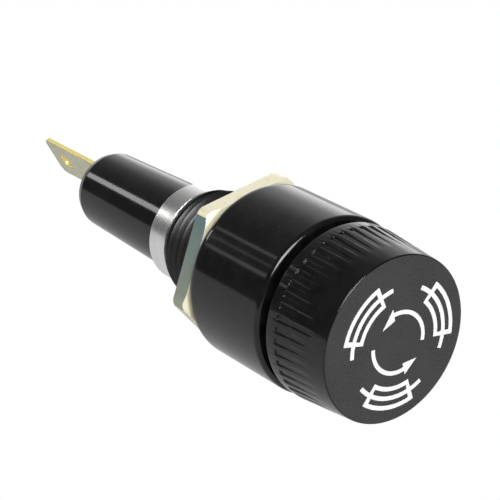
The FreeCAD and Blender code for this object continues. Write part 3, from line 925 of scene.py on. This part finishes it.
def makeHolder(look):
    front, end = bodyLow.y, bodyHigh.y
    collar = bodyHigh.x
    root = look["root"]
    discSeat = discHigh.x + 0.02 * mm
    chamber = look["chamber"]
    neckBore = look["neckBore"]
    sleeveBore = sleeveHigh.x + 0.02 * mm
    step = look["sleeveStep"]
    corners = [
        (look["mouth"], front, look["mouthEdge"]), (collar, front, look["collarEdge"]),
        (collar, 0, look["collarRear"]), (look["reliefRadius"], 0, 0.05 * mm),
        (look["reliefRadius"], look["threadStart"], 0), (root, look["threadStart"] + 0.1 * mm, 0),
        (root, look["threadEnd"] - 0.35 * mm, 0),
        (look["crest"] - 0.3 * mm, look["threadEnd"] - 0.3 * mm, 0.03 * mm),
        (look["crest"] - 0.35 * mm, look["threadEnd"], 0.08 * mm),
        (look["tubeFront"], look["threadEnd"], 0), (look["tubeRear"], end - look["tubeTaper"], 0.6 * mm),
        (look["tubeRear"] - look["tubeEdge"], end, 0.05 * mm), (discSeat, end, 0.05 * mm),
        (discSeat, discLow.y, 0), (chamber, discLow.y, 0),
        (chamber, sleeveHigh.y + 0.05 * mm, 0), (neckBore, sleeveHigh.y + 0.05 * mm, 0),
        (neckBore, step, 0), (sleeveBore, step, 0), (sleeveBore, sleeveLow.y, 0),
        (look["mouth"], sleeveLow.y, 0)]
    piece = toObject("holderMoulding", spun(rounded(corners, steps=6), look["segments"]), [gloss])
    pitch = look["pitch"]
    start = look["threadStart"] + look["ridgeLead"]
    turns = (look["threadEnd"] - 0.5 * mm - start) / pitch
    bakeTree(piece, threadTree, {
        "Base Radius": root, "Height": look["crest"] - root, "Half Width": 0.46 * pitch, "Sink": 0.1 * mm,
        "Pitch": pitch, "Start": start, "Turns": turns, "Fade": 0.35,
        "Steps": round(turns * 120), "Around": 17, "Material": threadPlastic})
    shade(piece, 40)
    attach(piece, "holder", "black_plastic_body", "holder_body")
    return start


ridgeStart = makeHolder(holder)


# Nut

nut = {
    "flats": 17.0 * mm,
    "cornerAngle": 10.4,
    "perSide": 20,
    "cornerRadius": 9.65 * mm,   # the corners are turned down to this
    "chamfer": 0.3 * mm,         # front chamfer of the corners, along the axis
    "chamferInset": 0.5 * mm,
    "edge": 0.05 * mm,
    "bore": 6.05 * mm,
    "boreEdge": 0.25 * mm,
    "threadIn": 5.58 * mm,
}


def makeNut(look):
    front, rear = nutLow.y, nutHigh.y
    inscribed = look["flats"] / 2
    corner = look["flats"] / math.sqrt(3)
    turned = look["cornerRadius"]
    frontRadius = turned - look["chamferInset"]
    slope = look["chamfer"] / look["chamferInset"]
    middle = (look["bore"] + inscribed) / 2
    bore = look["bore"]
    bevel = look["boreEdge"]
    count = 6 * look["perSide"]
    work = bmesh.new()
    rings = []
    for index in range(count):
        side = index // look["perSide"]
        share = (index % look["perSide"]) / look["perSide"]
        start = polar(corner, 0, look["cornerAngle"] + 60 * side)
        along = start.lerp(polar(corner, 0, look["cornerAngle"] + 60 * side + 60), share)
        unit = along.normalized()
        reach = min(along.length, turned)
        flat = min(reach, frontRadius) - 0.05 * mm
        fall = max(reach - frontRadius, 0.0) * slope
        outline = [
            (bore, front + bevel), (bore + bevel, front), (middle, front), (flat, front),
            (reach, front + fall), (reach, (front + rear + fall) / 2), (reach, rear),
            (middle, rear), (bore + bevel, rear), (bore, rear - bevel)]
        rings.append([work.verts.new(unit * radius + Vector((0, y, 0))) for radius, y in outline])
    for index in range(count):
        first, second = rings[index], rings[(index + 1) % count]
        for place in range(len(first)):
            ahead = (place + 1) % len(first)
            work.faces.new((first[place], first[ahead], second[ahead], second[place]))
    piece = toObject("hexNut", work, [nutMetal])
    softenEdges(piece, look["edge"], segments=3, limit=20)
    pitch = holder["pitch"]
    shift = math.floor((front - ridgeStart) / pitch) + 1.5          # half a pitch off the neck's own ridge
    start = ridgeStart + shift * pitch
    turns = (rear - 0.15 * mm - start) / pitch
    bakeTree(piece, threadTree, {
        "Base Radius": bore, "Height": look["threadIn"] - bore, "Half Width": 0.4 * pitch, "Sink": -0.1 * mm,
        "Pitch": pitch, "Start": start, "Turns": turns, "Fade": 0.3, "Steps": 120, "Around": 17,
        "Material": nutMetal})
    shade(piece, 25)
    attach(piece, "nut", "nut_plating", "mounting_nut")


makeNut(nut)


# Punched strips: the side tag on the ring and the end tab

def punchedStrip(width, length, holeAt, holeRadius, cornerRadius, rootRows, cells=10):
    # flat strip in (across, along), with a round hole near its far end and rounded far corners
    work = bmesh.new()
    half = width / 2
    blockStart = holeAt - half
    row = [-half + width * index / cells for index in range(cells + 1)]
    outline = [Vector((across, blockStart, 0)) for across in row]
    sideTop = length - cornerRadius
    rows = max(2, round((sideTop - blockStart) / (width / cells)))
    rise = sideTop - blockStart
    outline += [Vector((half, blockStart + rise * index / rows, 0)) for index in range(1, rows + 1)]
    for centre, first in ((half - cornerRadius, 0), (cornerRadius - half, 90)):
        for step in range(1 if first == 0 else 0, 9):
            angle = math.radians(first + 90 * step / 8)
            along = sideTop + cornerRadius * math.sin(angle)
            outline.append(Vector((centre + cornerRadius * math.cos(angle), along, 0)))
        if first == 0:
            flat = width - 2 * cornerRadius
            pieces = max(1, round(flat / (width / cells)))
            outline += [Vector((half - cornerRadius - flat * index / pieces, length, 0))
                        for index in range(1, pieces)]
    outline += [Vector((-half, sideTop - rise * index / rows, 0)) for index in range(1, rows)]
    centre = Vector((0, holeAt, 0))
    layers = []
    for share in (0.0, 0.15, 0.5, 1.0):
        layer = []
        for point in outline:
            start = centre + (point - centre).normalized() * holeRadius
            layer.append(work.verts.new(start.lerp(point, share)))
        layers.append(layer)
    for inner, outer in zip(layers, layers[1:]):
        for index in range(len(outline)):
            ahead = (index + 1) % len(outline)
            work.faces.new((inner[index], inner[ahead], outer[ahead], outer[index]))
    lower = layers[-1][:cells + 1]
    for step in range(1, rootRows + 1):
        along = blockStart * (1 - step / rootRows)
        upper = [work.verts.new((across, along, 0)) for across in row]
        for index in range(cells):
            work.faces.new((upper[index], upper[index + 1], lower[index + 1], lower[index]))
        lower = upper
    return work


def thicken(work, thickness, bend):
    # gives the strip its thickness and carries each point (across, along, up) to its place
    raised = bmesh.ops.extrude_face_region(work, geom=list(work.faces))
    for item in raised["geom"]:
        if isinstance(item, bmesh.types.BMVert):
            item.co.z += thickness
    for vertex in work.verts:
        vertex.co = bend(*vertex.co)


# Ring terminal: a bright band round the tube, with a rolled tag that carries the solder hole

ring = {
    "segments": 192,
    "radius": 5.3 * mm,
    "stepRadius": 5.0 * mm,
    "stepWidth": 0.6 * mm,
    "length": 3.35 * mm,
    "edge": 0.07 * mm,
    "tagAngle": -36.0,
    "tagSpan": 42.0,
    "tagEnd": 23.5 * mm,
    "tagThickness": 0.4 * mm,
    "tagCorner": 0.5 * mm,
    "holeRadius": 0.8 * mm,
    "holeFromEnd": 2.0 * mm,
}


def makeRing(look):
    front = ringLow.y
    rear = holder["threadEnd"] + look["length"]
    inner = holder["tubeFront"] + 0.02 * mm
    edge = look["edge"]
    step = front + look["stepWidth"]
    outline = rounded([
        (inner, front, 0), (look["stepRadius"], front, edge), (look["stepRadius"], step, edge / 2),
        (look["radius"], step, edge), (look["radius"], rear, edge), (inner, rear, edge)], steps=4)
    work = spun(outline, look["segments"])
    tagInside = look["radius"] - look["tagThickness"]
    width = math.radians(look["tagSpan"]) * tagInside
    start = rear - 0.6 * mm
    tag = punchedStrip(width, look["tagEnd"] - start, look["tagEnd"] - start - look["holeFromEnd"],
                       look["holeRadius"], look["tagCorner"], 4, cells=16)

    def roll(across, along, up):
        return polar(tagInside + up, start + along, look["tagAngle"] + math.degrees(across / tagInside))

    thicken(tag, look["tagThickness"] - 0.01 * mm, roll)
    band = toObject("ringBand", work, [bandMetal])
    tagPiece = toObject("ringTag", tag, [bandMetal])
    softenEdges(tagPiece, 0.05 * mm, segments=2, limit=50)
    joined = bmesh.new()
    for part in (band, tagPiece):
        joined.from_mesh(part.data)
        bpy.data.objects.remove(part)
    piece = toObject("ringTerminal", joined, [bandMetal])
    shade(piece, 40)
    attach(piece, "holder", "tinned_band", "ring_terminal")


makeRing(ring)


# End tab: a foot against the end disc, a bend and the flat tab

tab = {
    "width": 5.2 * mm,
    "thickness": 0.5 * mm,
    "angle": 119.4,              # turn of its width from +X towards +Z
    "offset": 0.94 * mm,         # its far face from the axis
    "corner": 0.9 * mm,
    "holeRadius": 0.95 * mm,
    "holeFromEnd": 2.9 * mm,
    "bendRadius": 0.5 * mm,      # of the middle of the sheet
    "edge": 0.06 * mm,
}


def makeTab(look):
    end = tabHigh.y
    sheet = look["thickness"]
    across = polar(1, 0, look["angle"])
    near = polar(1, 0, look["angle"] + 90)
    footLength = look["offset"] + look["width"] / 2
    radius = look["bendRadius"]
    straight = footLength - radius - sheet / 2
    arc = radius * math.pi / 2
    tabStart = tabLow.y + sheet / 2 + radius
    total = straight + arc + end - tabStart
    work = punchedStrip(look["width"], total, total - look["holeFromEnd"],
                        look["holeRadius"], look["corner"], 36)

    def fold(sideways, along, up):
        depth = up - sheet / 2
        if along < straight:
            shift, y = footLength - look["offset"] - along, tabLow.y + sheet / 2 + depth
        elif along < straight + arc:
            turn = (along - straight) / radius
            shift = footLength - look["offset"] - straight - (radius - depth) * math.sin(turn)
            y = tabLow.y + sheet / 2 + radius - (radius - depth) * math.cos(turn)
        else:
            shift, y = sheet / 2 - look["offset"] + depth, tabStart + along - straight - arc
        return across * sideways + near * shift + Vector((0, y, 0))

    thicken(work, sheet, fold)
    piece = toObject("endTab", work, [tabMetal])
    softenEdges(piece, look["edge"], segments=2, limit=45)
    shade(piece, 35)
    attach(piece, "holder", "brass_tab", "end_terminal")


makeTab(tab)


# Rivets: the one that holds the end tab and the one through the ring

def spunRivet(name, outline, matrix, material):
    work = spun(rounded(outline, steps=4), 64, closed=False)
    bmesh.ops.transform(work, matrix=matrix, verts=work.verts)
    return shade(toObject(name, work, [material]), 40)


endRivet = {"shank": 0.6 * mm, "head": 1.1 * mm, "rise": 0.32 * mm, "shift": 0.95 * mm}
ringRivet = {"shank": 0.7 * mm, "head": 0.8 * mm, "rise": 0.1 * mm, "start": 3.7 * mm}


def makeRivets(end, side):
    low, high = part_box("terminal_rivet")
    outline = [
        (0, low.y, 0), (end["head"] * 0.55, low.y, 0.1 * mm),
        (end["head"], low.y + end["rise"] * 0.7, 0.06 * mm),
        (end["head"], low.y + end["rise"], 0), (end["shank"], low.y + end["rise"], 0),
        (end["shank"], high.y - end["rise"], 0), (end["head"], high.y - end["rise"], 0),
        (end["head"], high.y - end["rise"] * 0.7, 0.06 * mm), (end["head"] * 0.55, high.y, 0.12 * mm),
        (end["head"] * 0.2, high.y, 0), (0, high.y - 0.08 * mm, 0)]
    shift = polar(end["shift"], 0, tab["angle"] + 90)
    piece = spunRivet("endRivet", outline, Matrix.Translation(shift), brass)
    attach(piece, "holder", "brass", "terminal_rivet")
    top = ring["radius"] + side["rise"]
    seat = ring["radius"] - 0.02 * mm
    outline = [
        (0, side["start"], 0), (side["shank"], side["start"], 0), (side["shank"], seat, 0),
        (side["head"], seat, 0), (side["head"], top - 0.05 * mm, 0.02 * mm),
        (side["head"] * 0.7, top, 0.1 * mm), (0, top, 0)]
    low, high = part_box("ring_rivet")
    outward = polar(1, 0, ring["tagAngle"])
    turn = Vector((0, 1, 0)).rotation_difference(outward).to_matrix().to_4x4()
    place = Matrix.Translation((0, (low.y + high.y) / 2, 0)) @ turn
    piece = spunRivet("ringRivet", outline, place, brass)
    attach(piece, "holder", "brass", "ring_rivet")


makeRivets(endRivet, ringRivet)


# CAD nodes that keep their own shape get their finish here

finishes = {
    "cap_ferrule": nickel,
    "clip_rivet": brass,
    "fuse_clip": bronze,
    "contact_sleeve": nickel,
    "rear_contact_cup": bronze,
    "contact_spring": steel,
    "end_plate": brass,
    "end_disc": board,
    "fuse_front_cap": fuseCapMetal,
    "fuse_rear_cap": fuseCapMetal,
    "fuse_glass_tube": glass,
    "fuse_element": wire,
    "fuse_front_solder": solder,
    "fuse_rear_solder": solder,
}
for nodeName, material in finishes.items():
    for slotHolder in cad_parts[nodeName].material_slots:
        slotHolder.material = material
print("finished CAD nodes:", len(finishes))


# Studio: a pale floor, soft lights and the camera

studio = {
    "floorHeight": -60 * mm,
    "floorHalf": 1.2,
    "brightSide": (0.676, 0.737, 0.0),   # towards the big soft light behind the object
    "skyStops": (
        (0.0, 0.12), (0.3, 0.12), (0.54, 0.2), (0.72, 0.34),
        (0.79, 0.5), (0.88, 0.85), (0.95, 1.05), (1.0, 1.2)),
    "floorShown": 1.0,
    "floorGiven": 0.62,
    "cameraAim": (9.75 * mm, 14.95 * mm, -5.47 * mm),
    "cameraDistance": 200 * mm,
    "cameraAzimuth": -36.81,
    "cameraElevation": 23.08,
    "cameraLens": 129.6,
}
keyBox = {"place": (-0.204, -0.39, 0.402), "width": 0.42, "length": 0.3, "power": 5.0}
streaks = {
    "streakTube": {"turn": 136.0, "from": 332 * mm, "to": 450 * mm, "width": 68 * mm, "radiance": 3.6},
    "streakUpper": {"turn": 124.0, "from": 236 * mm, "to": 304 * mm, "width": 16 * mm, "radiance": 0.75},
    "streakMiddle": {"turn": 136.0, "from": 236 * mm, "to": 304 * mm, "width": 14 * mm, "radiance": 0.35},
    "streakLower": {"turn": 148.5, "from": 236 * mm, "to": 304 * mm, "width": 20 * mm, "radiance": 0.75},
}
streakReach = 270 * mm           # of the streak lights from the holder's axis


def makeFloor(look):
    work = bmesh.new()
    half = look["floorHalf"]
    height = look["floorHeight"]
    corners = ((-half, -half), (half, -half), (half, half), (-half, half))
    work.faces.new([work.verts.new((x, y, height)) for x, y in corners])
    material = bpy.data.materials.new("paleFloor")
    material.use_nodes = True
    tree = material.node_tree
    tree.nodes.clear()
    seen = tree.nodes.new("ShaderNodeLightPath").outputs["Is Camera Ray"]
    strength = remap(tree, seen, 0.0, 1.0, look["floorGiven"], look["floorShown"])
    glow = addNode(tree, "ShaderNodeEmission", {"Strength": strength, "Color": grey(1.0)})
    output = tree.nodes.new("ShaderNodeOutputMaterial")
    tree.links.new(glow.outputs[0], output.inputs["Surface"])
    toObject("paleFloor", work, [material])


def makeWorld(look):
    world = bpy.data.worlds.new("studio")
    bpy.context.scene.world = world
    world.use_nodes = True
    tree = world.node_tree
    tree.nodes.clear()
    direction = tree.nodes.new("ShaderNodeTexCoord").outputs["Generated"]
    towards = addNode(tree, "ShaderNodeVectorMath", operation="DOT_PRODUCT")
    plug(tree, towards.inputs[0], direction)
    plug(tree, towards.inputs[1], look["brightSide"])
    ramp = addNode(tree, "ShaderNodeValToRGB", {"Fac": towards.outputs["Value"]})
    stops = ramp.color_ramp.elements
    for index, (place, level) in enumerate(look["skyStops"]):
        stop = stops[index] if index < len(stops) and index == 0 else stops.new(place)
        stop.position = place
        stop.color = grey(level / 2)
    while len(stops) > len(look["skyStops"]):
        stops.remove(stops[-1])
    seen = tree.nodes.new("ShaderNodeLightPath").outputs["Is Camera Ray"]
    color = mixColors(tree, seen, ramp.outputs[0], grey(0.5))
    background = addNode(tree, "ShaderNodeBackground", {"Color": color, "Strength": 2.0})
    output = tree.nodes.new("ShaderNodeOutputWorld")
    tree.links.new(background.outputs[0], output.inputs["Surface"])


def aimed(obj, towards, distance, aim):
    obj.location = aim + towards * distance
    obj.rotation_mode = "QUATERNION"
    obj.rotation_quaternion = (-towards).to_track_quat("-Z", "Y")
    bpy.context.scene.collection.objects.link(obj)


def softbox(name, width, length, power):
    light = bpy.data.lights.new(name, "AREA")
    light.shape = "RECTANGLE"
    light.size = width
    light.size_y = length
    light.energy = power
    obj = bpy.data.objects.new(name, light)
    obj.visible_camera = False
    return obj


def makeLights(key, streaks, reach):
    place = Vector(key["place"])
    box = softbox("keyBox", key["width"], key["length"], key["power"])
    aimed(box, place.normalized(), place.length, Vector((0, 0, 0)))
    for name, streak in streaks.items():
        # a strip parallel to the holder's axis, which shows as one thin line on a stretch of it
        length = streak["to"] - streak["from"]
        power = streak["radiance"] * 4 * length * streak["width"]
        strip = softbox(name, streak["width"], length, power)
        outward = polar(1, 0, streak["turn"])
        along = Vector((0, 1, 0))
        columns = Matrix((along.cross(outward), along, outward)).transposed()
        middle = (streak["from"] + streak["to"]) / 2
        strip.matrix_world = Matrix.Translation(outward * reach + along * middle) @ columns.to_4x4()
        bpy.context.scene.collection.objects.link(strip)


def makeCamera(look):
    azimuth = math.radians(look["cameraAzimuth"])
    elevation = math.radians(look["cameraElevation"])
    level = math.cos(elevation)
    back = Vector((math.sin(azimuth) * level, -math.cos(azimuth) * level, math.sin(elevation)))
    camera = bpy.data.cameras.new("camera")
    camera.lens = look["cameraLens"]
    camera.clip_start = 0.01
    camera.clip_end = 20
    obj = bpy.data.objects.new("camera", camera)
    aimed(obj, back, look["cameraDistance"], Vector(look["cameraAim"]))
    bpy.context.scene.camera = obj


makeFloor(studio)
makeWorld(studio)
makeLights(keyBox, streaks, streakReach)
makeCamera(studio)
bpy.context.scene.view_settings.view_transform = "Standard"
